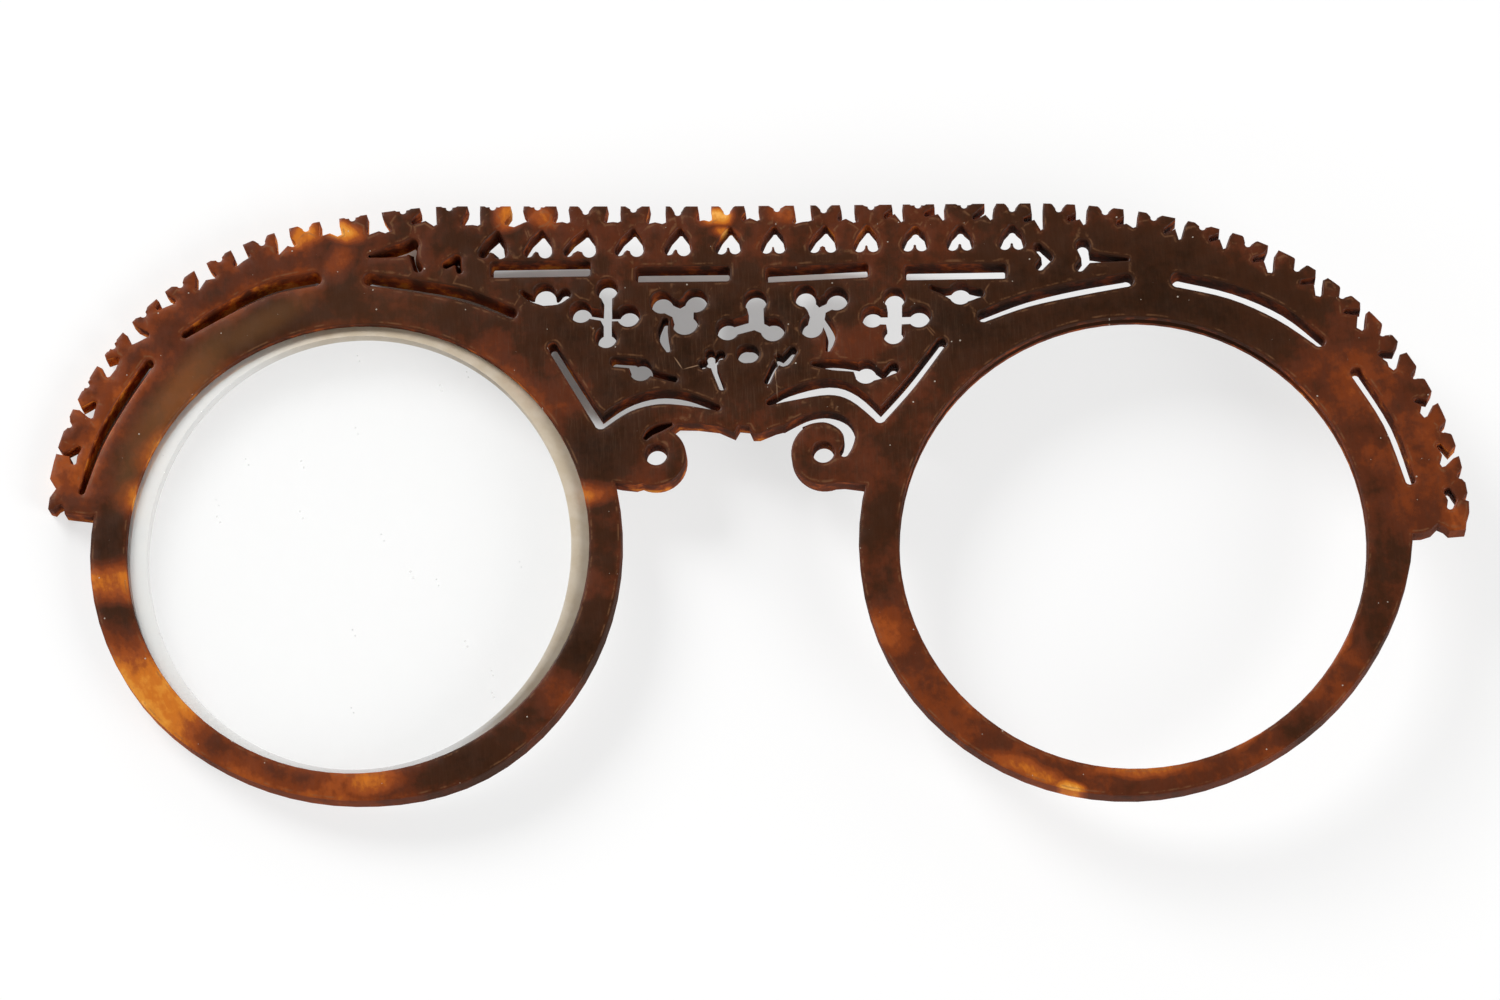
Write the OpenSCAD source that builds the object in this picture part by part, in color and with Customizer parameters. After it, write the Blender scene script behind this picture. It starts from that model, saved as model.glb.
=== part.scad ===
// Nose spectacles without sides: one flat front pierced and notched by hand from a
// plate of tortoiseshell, with two round rims joined under a fretwork brow, and the
// one lens that is left in it.
// Right and left are those of the drawing. The front face looks up (+Z) and the back
// face lies on z = 0. The origin is on the back face, in the middle of the bridge.

/* [Plate] */
// Thickness of the tortoiseshell plate
plate_t = 2.4; // [2:0.1:3]
// Height of the bridge's middle, the origin, above the line through the eyes
bridge_y = 12; // [11.7:0.1:12.3]

/* [Eyes and rims] */
// Distance between the centres of the two eyes
eye_gap = 66.3; // [64.5:0.1:68.5]
// Radius of the opening inside the lips of a rim
eye_r = 19.9; // [19.3:0.1:20.5]
// Mean width of a rim below the brow
rim_w = 2.6; // [2.2:0.1:3.2]

/* [Lens groove] */
// Width of the groove at the lips
groove_w = 1; // [0.7:0.1:1.4]
// Width of the groove at its bottom
groove_floor = 0.5; // [0.3:0.1:0.6]
// Depth of the groove behind the lips
groove_d = 0.7; // [0.5:0.1:1.0]

/* [Lens] */
// Thickness of the lens in its middle
lens_t = 2.2; // [1.8:0.1:2.4]
// Thickness of the lens where its ground edge begins
lens_edge_t = 1.5; // [1.2:0.1:1.6]
// Width of the ground edge
lens_bevel = 1.9; // [1.6:0.1:2.4]
// Thickness left at the very rim of the ground edge
lens_land = 0.2; // [0.1:0.1:0.3]
// Play between the rim of the lens and the bottom of the groove
lens_fit = 0.1; // [0.05:0.05:0.3]

/* [Brow] */
// Height of the crest above the openings, on the left arc
left_band = 8; // [7.8:0.1:8.3]
// Height of the crest above the openings, on the right arc
right_band = 8.8; // [8.6:0.1:9.1]
// Width of the curved slots over the rims
rim_slot_w = 1.1; // [0.8:0.1:1.3]
// Width of the straight slots under the hearts
bar_slot_w = 1.35; // [1:0.05:1.5]
// Width of the bent slots over the scrolls
bent_slot_w = 1.1; // [0.8:0.1:1.3]
// Distance from one heart to the next
heart_pitch = 4.09; // [3.95:0.01:4.15]
// Size of a heart against the plain one
heart_size = 1; // [0.8:0.05:1.1]

/* [Scrolls] */
// Radius of the left scroll
left_scroll_r = 2.65; // [2.4:0.05:2.8]
// Radius of the right scroll
right_scroll_r = 2.85; // [2.65:0.05:2.95]
// Radius of the hole through a scroll
scroll_hole_r = 0.95; // [0.6:0.05:1.1]
// Depth of the groove engraved round the left scroll
engraved = 0.9; // [0.4:0.1:1.6]

/* [Hidden] */
$fn = 48;
reach = 3;

shell_brown = [0.30, 0.15, 0.08];
lens_tint = [0.93, 0.95, 0.94, 0.35];

left_eye = [-eye_gap / 2, 0.55];
right_eye = [eye_gap / 2, 0.15];
mid_t = plate_t / 2;

// Width of each rim at every 30 degrees from its inner side below the brow round to its
// outer side, against rim_w. The file left them a little uneven.
left_rim_steps = [0.6, 0.55, 0.1, -0.65, -0.7, 0, 0, 0.15, 0.6];
right_rim_steps = [0.9, 0.85, 0.6, 0.05, -0.35, -0.45, 0.1, 1.25, 1.7];

// The crest is one smooth line along the tips of the teeth. It starts at the left end,
// heading up, and turns to the right by these stretches of [length, turn in degrees].
crest_start = [left_eye[0] - eye_r - 6.9, 6.5];
crest_heading = 81.5;
function arc_run(r, turn) = [r * turn * PI / 180, turn];
stretches = [
    arc_run(eye_r + left_band, 73.8),
    [5.35, 0],
    arc_run(40, 8.7),
    [22.5, 0],
    arc_run(200, -0.6),
    [eye_gap - 37.5, 0],
    arc_run(57, 18.4),
    arc_run(eye_r + right_band, 65.7)
];
crest_len = sum_of([for (s = stretches) s[0]]);
// The top of the brow straight above the origin
brow_y = crest_point(crest_at_x(0))[1];

// The gaps between the teeth from the left, as the hand saw left them. Each is a slot
// that spreads into two feet, cut aslant under the teeth, with a cusp between them:
// [step from the last gap, sides at the tips, left side, left foot, cusp, right foot,
// right side]
gaps = [
    [3.4, [-0.62, 0], [-0.55, -1.2], [-1.1, -1.95], [-0.35, -1.85], [0.5, -2], [-0.4, -0.6]],
    [4.15, [-0.58, 0.45], [-0.4, -0.6], [-0.65, -1.95], [-0.1, -1.85], [0.8, -1.75], [-0.17, -0.62]],
    [4.55, [-0.76, 0.45], [-0.7, -0.55], [-1.05, -1.5], [-0.15, -1.55], [0.85, -1.4], [0.1, -0.4]],
    [3.65, [-0.7, 0.5], [-0.68, -0.6], [-0.98, -1.45], [-0.55, -1.6], [0.65, -2], [0.42, -0.6]],
    [3.9, [-0.48, 0.5], [-0.45, -0.35], [-1, -0.95], [-0.4, -1.1], [0.65, -1.4], [0.45, -0.4]],
    [4.2, [-0.56, 0.67], [-0.6, -0.3], [-1.2, -1.75], [-0.17, -1.3], [0.8, -1.6], [0.65, -0.6]],
    [3.6, [-0.53, 0.6], [-0.5, -0.7], [-0.8, -1.6], [0.05, -1.4], [0.75, -1.35], [0.6, -0.6]],
    [4.25, [-0.7, 0.62], [-0.75, -0.4], [-0.92, -2.05], [0.07, -1.5], [0.75, -1.75], [0.5, -0.8]],
    [4.1, [-0.75, 0.97], [-0.8, -0.6], [-0.85, -1.35], [0, -1.2], [0.97, -1.6], [0.92, -0.7]],
    [4.0, [-0.6, 0.68], [-0.68, -0.5], [-0.74, -1.85], [0.25, -1.65], [1.2, -1.92], [0.72, -0.5]],
    [4.7, [-0.66, 0.74], [-0.65, -0.5], [-1.4, -1.5], [-0.2, -1.22], [0.72, -1.75], [0.74, -0.7]],
    [4.0, [-0.5, 0.6], [-0.58, -0.5], [-0.98, -1.75], [0, -1.7], [0.62, -1.78], [0.6, -0.7]],
    [3.8, [-0.55, 0.6], [-0.55, -0.6], [-0.98, -1.75], [-0.2, -1.9], [0.95, -1.5], [0.55, -0.5]],
    [4.0, [-0.56, 0.6], [-0.58, -0.4], [-0.78, -1.52], [0, -1.42], [0.62, -1.55], [0.5, -0.35]],
    [4.4, [-0.52, 0.63], [-0.6, -0.5], [-0.68, -1.5], [0, -1.42], [0.63, -1.48], [0.62, -0.7]],
    [3.7, [-0.55, 0.84], [-0.62, -0.5], [-0.75, -1.6], [-0.05, -1.45], [0.86, -1.6], [0.84, -0.7]],
    [4.2, [-0.58, 0.6], [-0.5, -0.6], [-0.6, -1.35], [0, -1.25], [0.64, -1.37], [0.6, -0.6]],
    [4.1, [-0.66, 0.6], [-0.52, -0.5], [-0.8, -1.35], [-0.15, -1.1], [0.7, -1.37], [0.6, -0.6]],
    [4.4, [-0.75, 0.68], [-0.6, -0.8], [-0.75, -1.68], [0, -1.5], [0.85, -1.45], [0.72, -0.6]],
    [3.9, [-0.66, 0.6], [-0.5, -0.6], [-0.78, -1.45], [-0.12, -1.25], [0.82, -1.62], [0.6, -0.7]],
    [4.3, [-0.48, 0.5], [-0.4, -0.35], [-1.08, -1.3], [-0.2, -0.85], [0.52, -1.6], [0.44, -0.6]],
    [3.6, [-0.4, 0.6], [-0.35, -0.3], [-1.2, -1.15], [-0.05, -0.9], [0.5, -1.5], [0.45, -0.6]],
    [4.2, [-0.22, 0.82], [-0.3, -0.25], [-1.2, -1.5], [-0.15, -1], [0.42, -1.5], [0.53, -0.5]],
    [4.3, [-0.57, 0.54], [-0.42, -1], [-1.08, -1.75], [-0.2, -1.5], [0.5, -2.45], [0.48, -0.7]],
    [3.8, [-0.52, 0.7], [-0.35, -0.8], [-1, -1.6], [0, -1.3], [0.5, -1.8], [0.52, -0.5]],
    [4.3, [-0.62, 0.7], [-0.45, -0.7], [-0.95, -1.55], [-0.15, -1.25], [0.67, -1.55], [0.66, -0.6]],
    [4.4, [-0.47, 0.68], [-0.42, -0.25], [-1.1, -1.6], [-0.25, -0.95], [0.4, -1.85], [0.46, -0.5]],
    [4.0, [-0.55, 0.66], [-0.45, -0.45], [-1.1, -1.38], [-0.25, -0.9], [0.43, -1.65], [0.48, -0.4]],
    [4.25, [-0.35, 0.64], [-0.3, -0.8], [-1, -1.95], [-0.1, -1.45], [0.93, -2.25], [0.53, -0.8]],
    [4.85, [-0.6, 0.72], [-0.2, -0.6], [-1.02, -1.85], [0, -1.15], [1.05, -1.92], [0.45, -0.45]],
    [4.65, [-0.48, 0.63], [0, -0.45], [-0.9, -1.7], [0.2, -1], [1.38, -1.85], [0.58, -0.43]],
    [4.75, [-0.5, 0.77], [0.04, -0.9], [-0.6, -2.12], [0.45, -1.85], [1.32, -2], [0.55, -0.62]],
    [5.2, [-0.45, 0.75], [0.13, -0.75], [-0.32, -1.8], [0.37, -1.38], [1.38, -1.78], [0.78, -0.55]],
    [5.25, [-0.45, 0.5], [0.05, -0.75], [-0.92, -1.6], [0.05, -1.35], [1.05, -1.78], [0.6, -0.55]]
];
// The notch in the tooth after each gap: [step from the middle of the tooth, depth]
notches = [
    [0.1, 0.5], [-0.4, 0.35], [-0.4, 0.35], [-0.3, 0.5], [-0.2, 0.6], [0, 0.5], [0.1, 0.75], [0, 0.65],
    [0.1, 0.4], [0.2, 0.4], [-0.1, 0.4], [-0.2, 0.35], [-0.2, 0.35], [-0.2, 0.75], [-0.1, 0.55],
    [-0.2, 0.85],
    [-0.1, 0.8], [0, 0.55], [-0.1, 0.7], [-0.1, 0.45], [0, 0.35], [0.1, 0.4], [0, 0.75], [0, 0.75],
    [0, 0.7], [-0.1, 0.6], [0, 0.5], [0.1, 0.8], [0.4, 1.0], [0.3, 0.8], [0.5, 0.8], [0.3, 0.85],
    [0.5, 0.8]
];
last_step = 4.75;
gap_scale = crest_len / (sum_of([for (g = gaps) g[0]]) + last_step);
function gap_at(i) = gap_scale * sum_of([for (k = [0:i]) gaps[k][0]]);

function sum_of(v, i = 0) = i == len(v) ? 0 : v[i] + sum_of(v, i + 1);
function polar(r, a) = [r * cos(a), r * sin(a)];
// A smooth line through the values of a list, at x counted in steps of the list
function smooth(v, x) =
    let(i = min(floor(x), len(v) - 2), f = x - i,
        a = v[max(i - 1, 0)], b = v[i], c = v[i + 1], d = v[min(i + 2, len(v) - 1)])
    b + f / 2 * ((c - a) + f * ((2 * a - 5 * b + 4 * c - d) + f * (3 * b - a - 3 * c + d)));

// Walks d along one stretch from [x, y, heading], turning at an even rate
function walk(p, stretch, d) =
    stretch[1] == 0
        ? [p[0] + d * cos(p[2]), p[1] + d * sin(p[2]), p[2]]
        : let(turn = stretch[1] * d / stretch[0], r = stretch[0] / stretch[1] * 180 / PI)
          [p[0] + r * (sin(p[2]) - sin(p[2] - turn)),
           p[1] - r * (cos(p[2]) - cos(p[2] - turn)), p[2] - turn];
// [x, y, heading] at a distance s along the crest
function crest_point(s, i = 0, p = concat(crest_start, crest_heading)) =
    s <= stretches[i][0] || i == len(stretches) - 1
        ? walk(p, stretches[i], s)
        : crest_point(s - stretches[i][0], i + 1, walk(p, stretches[i], stretches[i][0]));
// Distance along the crest where its longest stretch passes over x
function crest_at_x(x) =
    let(s = sum_of([for (k = [0:4]) stretches[k][0]]), p = crest_point(s))
    s + (x - p[0]) / cos(p[2]);

// A straight cut with round ends of radius ra at a and rb at b
module stroke(a, b, ra, rb) {
    side = [a[1] - b[1], b[0] - a[0]] / norm(b - a) * 0.98;
    polygon([a + side * ra, a - side * ra, b - side * rb, b + side * rb]);
    translate(a) circle(ra);
    translate(b) circle(rb);
}

// A bent cut that runs smoothly through the points [x, y, radius]
module ribbon(points) {
    spans = 4 * (len(points) - 1);
    line = [for (i = [0:spans]) smooth(points, i / 4)];
    side = [for (i = [0:spans])
        let(d = line[min(i + 1, spans)] - line[max(i - 1, 0)])
        [-d[1], d[0]] / norm([d[0], d[1]]) * line[i][2] * 0.98];
    polygon(concat(
        [for (i = [0:spans]) [line[i][0], line[i][1]] + side[i]],
        [for (i = [spans:-1:0]) [line[i][0], line[i][1]] - side[i]]));
    for (p = [line[0], line[spans]]) translate([p[0], p[1]]) circle(p[2]);
}

// Round lobes [x, y, radius], each joined to the middle by a neck of that half width
module lobes(middle, neck, points) {
    for (p = points) {
        translate([p[0], p[1]]) circle(p[2]);
        stroke(middle, [p[0], p[1]], neck, neck * 0.95);
    }
}

// A straight slot of width w from a to b, its corners rounded by the saw
module bar_slot(a, b, w) {
    corner = 0.3;
    long = norm(b - a);
    centres = [[long - corner, w / 2 - corner], [corner, w / 2 - corner],
               [corner, corner - w / 2], [long - corner, corner - w / 2]];
    translate(a) rotate(atan2(b[1] - a[1], b[0] - a[0]))
        polygon([for (i = [0:3], k = [0:4]) centres[i] + polar(corner, 90 * i + 22.5 * k)]);
}

// A slot round an eye through the points [angle, distance from the opening, width]
module rim_slot(eye, points) {
    ribbon([for (p = points)
        concat(eye + polar(eye_r + p[1], p[0]), p[2] * rim_slot_w / 2)]);
}

// The gap g between two teeth, with blunt ends on its feet
module tooth_gap(g) {
    blunt = 0.4;
    // A right foot that reaches farther out is also wider.
    toe = 0.14 + 0.4 * max(0, g[5][0] - 0.5);
    // The tips stand a little outside the crest, so that each side crosses it once.
    tip_y = 0.05;
    polygon([[g[1][0], reach], [g[1][0], tip_y], g[2],
             g[3] + [-0.05, blunt], g[3] + [-0.05, 0.12], g[3] + [0.1, 0],
             g[4],
             g[5] + [-toe, 0], g[5] + [0.02, 0.12], g[5] + [0.02, blunt],
             g[6], [g[1][1], tip_y], [g[1][1], reach]]);
}

// The notch between the two tips of a tooth
module tooth_notch(depth) {
    base = 0.27;
    polygon([[-0.75, reach], [-0.75, 0.02], [-0.55, -0.1], [-base, base - depth],
             [base, base - depth], [0.55, -0.1], [0.75, 0.02], [0.75, reach]]);
    translate([0, base - depth]) circle(base * 1.04);
}

module at_crest(s) {
    p = crest_point(s);
    translate([p[0], p[1]]) rotate(p[2]) children();
}

module crest_cuts() {
    last = len(gaps) - 1;
    for (i = [0:last]) at_crest(gap_at(i)) tooth_gap(gaps[i]);
    for (i = [0:last - 1])
        at_crest((gap_at(i) + gap_at(i + 1)) / 2 + notches[i][0]) tooth_notch(notches[i][1]);
    at_crest(crest_len - 2.5) tooth_notch(0.55);
}

// A heart of width w with its point up, the point tip to the right of its middle. Its
// right lobe is larger than its left one by twice fuller. A lower peak is a rounder one.
module heart(w, tip, fuller, peak) {
    x = w / 2 - 0.5;
    right_r = 0.5 + fuller;
    left_r = 0.5 - fuller;
    top_r = 0.25 + (1.13 - peak) / 2;
    scale(heart_size) {
        low = -0.67 - fuller;
        polygon([[-w / 2, low + 0.2], [(tip - w / 2) / 2 - 0.18, 0.42],
                 [tip - 0.9 * top_r, peak], [tip + 0.91 * top_r, peak - 0.01],
                 [(tip + w / 2) / 2 + 0.28, 0.42], [w / 2, low + 0.17],
                 [x - 0.25, low - 0.13], [-2 * fuller, low + 0.12], [0.25 - x, low - 0.13]]);
        translate([tip, peak - 0.4 * top_r]) circle(top_r);
        translate([x - fuller, low + fuller]) circle(right_r);
        translate([-x - fuller, low]) circle(left_r);
    }
}

// Twelve hearts stand in a row. Each is [step aside from even distances, width, tip].
hearts = [
    [0, 2.5, 0.4], [-0.15, 2.45, 0.3], [-0.6, 2.8, 0.5], [-0.4, 2.5, 0.35], [-0.3, 2.3, 0.2],
    [0, 2.2, 0.15], [-0.2, 2.15, 0.1], [0, 2.45, 0.25], [-0.3, 2.2, 0.1], [-0.2, 2.2, 0.05],
    [-0.4, 2.25, 0.05], [0, 2.2, 0.05]
];
heart_first = -21.8;
fuller_to = 4;
round_from = 9;

// The figures under the crest are set out from it, so they rise and fall with it.
module brow_row() {
    for (i = [0:len(hearts) - 1])
        translate([heart_first + i * heart_pitch + hearts[i][0], -3.2])
            heart(hearts[i][1], hearts[i][2], i > fuller_to ? 0 : 0.1,
                  i < round_from ? 1.13 : 0.85);
    bar_slot([-22, -5.45], [-13.3, -5.45], bar_slot_w + 0.1);
    bar_slot([-9.4, -6.1], [-1.2, -6.15], bar_slot_w);
    bar_slot([1.9, -6.35], [10.8, -6.0], bar_slot_w - 0.05);
    bar_slot([13.9, -6.3], [22.7, -6.3], bar_slot_w);
    // Leaf and comma at the left shoulder
    ribbon([[-32.5, -4.05, 0.12], [-31, -3.75, 0.45], [-29.5, -3.45, 0.6], [-28.8, -3.05, 0.55]]);
    ribbon([[-28.8, -3.1, 0.5], [-28.7, -4.2, 0.36], [-28.3, -5.15, 0.42]]);
    stroke([-25.85, -4.95], [-24.95, -4.45], 0.34, 0.42);
    stroke([-24.9, -4.5], [-24.7, -5.5], 0.36, 0.26);
    // Leaf and comma at the right shoulder
    stroke([33.1, -5.4], [29.7, -5.2], 0.15, 0.5);
    stroke([29.7, -5.25], [29.05, -6.05], 0.45, 0.38);
    stroke([29.6, -5.2], [29.3, -4.1], 0.42, 0.58);
    stroke([25.45, -4.2], [26.25, -5.1], 0.36, 0.44);
    stroke([26.2, -5.2], [25.6, -5.9], 0.44, 0.38);
}

// Quatrefoils, trefoils and clouds in the field between the eyes
module field_figures() {
    lobes([-11.9, -9.8], 0.5, [[-11.85, -7.4, 0.95], [-14.1, -9.4, 0.97], [-10, -9.8, 1],
                             [-11.9, -11.75, 0.93]]);
    lobes([13, -10.3], 0.7, [[13, -8.6, 0.93], [11.1, -10.25, 0.95], [15.1, -10.25, 1],
                             [12.9, -11.8, 0.92]]);
    ribbon([[-19.2, -7.55, 0.2], [-18.4, -8.05, 0.35], [-17.3, -8, 0.8], [-16.2, -8.25, 0.45],
            [-15.5, -7.75, 0.5]]);
    translate([-17.3, -7.75]) circle(1);
    ribbon([[16.2, -7.65, 0.2], [17.3, -8.05, 0.32], [18.7, -8.3, 0.8], [20.3, -8.25, 0.4]]);
    translate([18.7, -8.25]) circle(1);
    lobes([-5.6, -9.4], 0.8, [[-7.1, -8.65, 1], [-4.2, -8.55, 1.05], [-5.1, -10.45, 1.15]]);
    ribbon([[-6.8, -10.35, 0.3], [-7, -11.35, 0.44], [-6.8, -12.25, 0.38], [-6.55, -12.95, 0.2]]);
    lobes([1, -10.5], 0.75, [[1, -8.65, 1], [-1.4, -11.15, 1], [2.5, -11.25, 1.05]]);
    stroke([0.2, -13.4], [0.5, -13.4], 0.84, 0.82);
    lobes([6.3, -9.4], 0.74, [[5.3, -8.25, 1], [8, -8.55, 1.05], [5.85, -11.05, 1]]);
    ribbon([[6.7, -10, 0.42], [7.5, -11.45, 0.45], [7.4, -12.55, 0.36], [7.25, -13.1, 0.22]]);
}

// Keys, small figures and bent slots are set out from the middle of the bridge.
module bridge_figures() {
    bent = bent_slot_w / 2;
    stroke([-11.1, 4.75], [-9.6, 4.6], 0.45, 0.47);
    stroke([-9.6, 4.6], [-8.9, 4.0], 0.46, 1);
    stroke([-8.6, 3.9], [-6.0, 3.1], 0.3, 0.26);
    ribbon([[6.0, 4.3, 0.18], [7.6, 4.2, 0.48], [9.6, 3.95, 0.44], [10.4, 3.6, 0.5]]);
    stroke([10.5, 3.5], [12, 3.2], 1.04, 0.3);
    stroke([12, 3.2], [12.85, 3.8], 0.29, 0.5);
    // Small stars over the bridge
    lobes([-2.8, 4.6], 0.32, [[-2.9, 5.3, 0.42], [-3.5, 4.4, 0.4], [-2.0, 5.2, 0.4]]);
    translate([-2.8, 4.65]) circle(0.6);
    stroke([-2.6, 4.2], [-1.9, 2.3], 0.28, 0.25);
    ribbon([[2.0, 2.8, 0.26], [2.8, 4.4, 0.3], [3.5, 4.6, 0.48], [4.2, 5.5, 0.36]]);
    stroke([3.5, 4.6], [2.9, 5.0], 0.4, 0.27);
    // Bent slots
    ribbon([[-16.5, 6.1, 0.8 * bent], [-14.5, 2.75, 0.85 * bent], [-12.35, -0.75, 0.95 * bent]]);
    ribbon([[-12.3, -0.75, 0.95 * bent], [-10, 0.8, 1.05 * bent], [-7.5, 1.5, 1.15 * bent],
            [-5, 1.3, 1.05 * bent], [-2.3, 0.5, 0.5 * bent]]);
    ribbon([[2.2, 0.9, 0.5 * bent], [4, 1.6, 1.05 * bent], [7.3, 2.2, 1.3 * bent],
            [9.5, 1.5, 1.15 * bent], [11.7, -0.5, 0.95 * bent]]);
    ribbon([[11.7, -0.55, 0.95 * bent], [14.3, 2.4, 0.9 * bent], [17, 6, 0.8 * bent]]);
}

// Curved slots that follow the rims
module rim_slots() {
    rim_slot(left_eye, [[167.6, 4.6, 0.5], [158, 4.6, 0.75], [148.5, 4.6, 0.85], [138, 4.9, 0.8]]);
    rim_slot(left_eye, [[128.5, 4.7, 0.6], [119, 4.6, 1], [109, 4.75, 1.1], [99.8, 4.55, 1.15]]);
    rim_slot(left_eye, [[88.4, 4.1, 1], [77.5, 3.9, 1], [67.7, 4.25, 1.05], [57.9, 4.6, 0.9]]);
    rim_slot(right_eye, [[121.7, 3.85, 0.95], [112, 3.35, 1.05], [101, 3.05, 1.15], [90.4, 3.35, 1.1]]);
    rim_slot(right_eye, [[79.4, 3.7, 1.2], [68, 3.85, 1.15], [57, 4, 1.15], [47, 4, 0.85]]);
    rim_slot(right_eye, [[37, 4.35, 0.9], [24.6, 4.3, 0.85], [12, 4.3, 0.75]]);
}

// The slit that frees the end of the right scroll, the line engraved round the left one
// and the crescent at the right end
module scroll_slit() {
    ribbon([[3.1, -1.8, 0.3], [4.5, -1.15, 0.42], [5.8, -0.6, 0.45], [7.2, -0.5, 0.5],
            [8.5, -1.1, 0.58], [9.05, -2.1, 0.5], [8.9, -3.1, 0.42], [8.6, -3.65, 0.4]]);
}
module engraved_line() {
    ribbon([[-8.45, -2.1, 0.2], [-8, -1.6, 0.33], [-7.3, -1.25, 0.36], [-6.75, -1.08, 0.26],
            [-6.3, -0.95, 0.15]]);
}
module end_crescent() {
    translate([right_eye[0], 0]) {
        stroke([26.85, 4.05], [27.2, 3.4], 0.33, 0.37);
        stroke([27.2, 3.4], [27.0, 2.8], 0.36, 0.28);
    }
}

// The brow without its cuts: the crest, the two end blocks and the bridge. Its other
// edges run hidden inside the rims and the openings.
module brow_plate() {
    pieces = 98;
    tips = [for (k = [0:pieces])
        let(p = crest_point(0.5 + (crest_len - 1.4) * k / pieces)) [p[0], p[1]]];
    left_end = [[3.7, -2.95], [1.45, -2.65], [1.35, -2.1], [1.1, -1.8], [0.75, -2.0],
                [0.45, -2.35], [0, -2.2], [0.1, -1.2], [0.65, -0.4]];
    right_end = [[-0.5, 0.35], [0, 0.15], [0, -0.85], [-0.25, -1.55], [-0.35, -2.4],
                 [-1.75, -2.5], [-2.15, -2.1], [-2.7, -1.85], [-3.25, -2.4], [-4.05, -2.65],
                 [-5.2, -2.7]];
    underside = [[7.6, -6.4], [6.9, -3.7], [5.4, -1.4], [3.3, -1.25], [2.7, -1.4],
                 [1.35, -1.95], [0.75, -1.95], [0.45, -1.25], [-0.4, -1.15], [-0.8, -1.85],
                 [-2.2, -1.2], [-4, -0.95], [-5.6, -0.9], [-6.9, -1.9], [-7.6, -3.8],
                 [-8.4, -6.1], [-9.3, -6.35], [-10.5, -6.2]];
    last = crest_point(crest_len);
    end = [last[0], last[1]];
    polygon(concat(
        [for (p = left_end) crest_start + p], tips, [for (p = right_end) end + p],
        [right_eye + [0, eye_r / 2], [10.6, bridge_y - 6.65], [8.6, bridge_y - 6.35]],
        [for (p = underside) p + [0, bridge_y]], [left_eye + [0, eye_r / 2]]));
}

module rim(x, steps) {
    edge = [for (a = [0:5:240]) polar(eye_r + rim_w + smooth(steps, a / 30), 150 + a)];
    translate([x, 0]) polygon(concat([[0, eye_r]], edge));
}

// The front before it is pierced
module blank() {
    linear_extrude(plate_t) brow_plate();
    linear_extrude(plate_t) rim(-eye_gap / 2, left_rim_steps);
    linear_extrude(plate_t) rim(eye_gap / 2, right_rim_steps);
    translate([-7.6, bridge_y - 3.8, 0]) cylinder(r = left_scroll_r, h = plate_t);
    translate([6.9, bridge_y - 3.7, 0]) cylinder(r = right_scroll_r, h = plate_t);
}

// Takes a flat figure through the whole plate
module pierce() {
    translate([0, 0, -1]) linear_extrude(plate_t + 2) children();
}

// The opening of one eye with the lens groove round it
module eye_cut(eye) {
    slope = (groove_w - groove_floor) / 2 / groove_d;
    translate([eye[0], eye[1], mid_t]) {
        cylinder(r = eye_r, h = 2 * plate_t, center = true, $fn = 180);
        rotate_extrude($fn = 180)
            polygon([[eye_r - 0.3, groove_w / 2 + 0.3 * slope],
                     [eye_r + groove_d, groove_floor / 2], [eye_r + groove_d, -groove_floor / 2],
                     [eye_r - 0.3, -groove_w / 2 - 0.3 * slope]]);
    }
}

module shell_front() {
    color(shell_brown) translate([0, -bridge_y, 0]) difference() {
        blank();
        pierce() crest_cuts();
        translate([0, brow_y, 0]) {
            pierce() brow_row();
            pierce() field_figures();
        }
        translate([0, bridge_y, 0]) {
            pierce() bridge_figures();
            pierce() scroll_slit();
            for (x = [-7.55, 6.8])
                translate([x, -3.6, -1]) cylinder(r = scroll_hole_r, h = plate_t + 2);
            translate([0, 0, plate_t - engraved]) linear_extrude(plate_t) engraved_line();
        }
        pierce() rim_slots();
        pierce() end_crescent();
        eye_cut(left_eye);
        eye_cut(right_eye);
    }
}

module left_lens() {
    rim_end = eye_r + groove_d - lens_fit;
    cap_r = rim_end - lens_bevel;
    rise = (lens_t - lens_edge_t) / 2;
    // Both faces are caps of the same sphere.
    ball_r = (cap_r * cap_r + rise * rise) / (2 * rise);
    function face(r) = lens_t / 2 - ball_r + sqrt(ball_r * ball_r - r * r);
    radii = [for (k = [0:8]) cap_r * k / 8];
    color(lens_tint) translate([left_eye[0], left_eye[1] - bridge_y, mid_t])
        rotate_extrude($fn = 180)
            polygon(concat(
                [for (r = radii) [r, face(r)]],
                [[rim_end, lens_land / 2], [rim_end, -lens_land / 2]],
                [for (k = [8:-1:0]) [radii[k], -face(radii[k])]]));
}

shell_front();
left_lens();
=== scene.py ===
import math
import bpy
import numpy as np
from mathutils import Matrix, Vector
from mathutils.geometry import delaunay_2d_cdt


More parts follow.
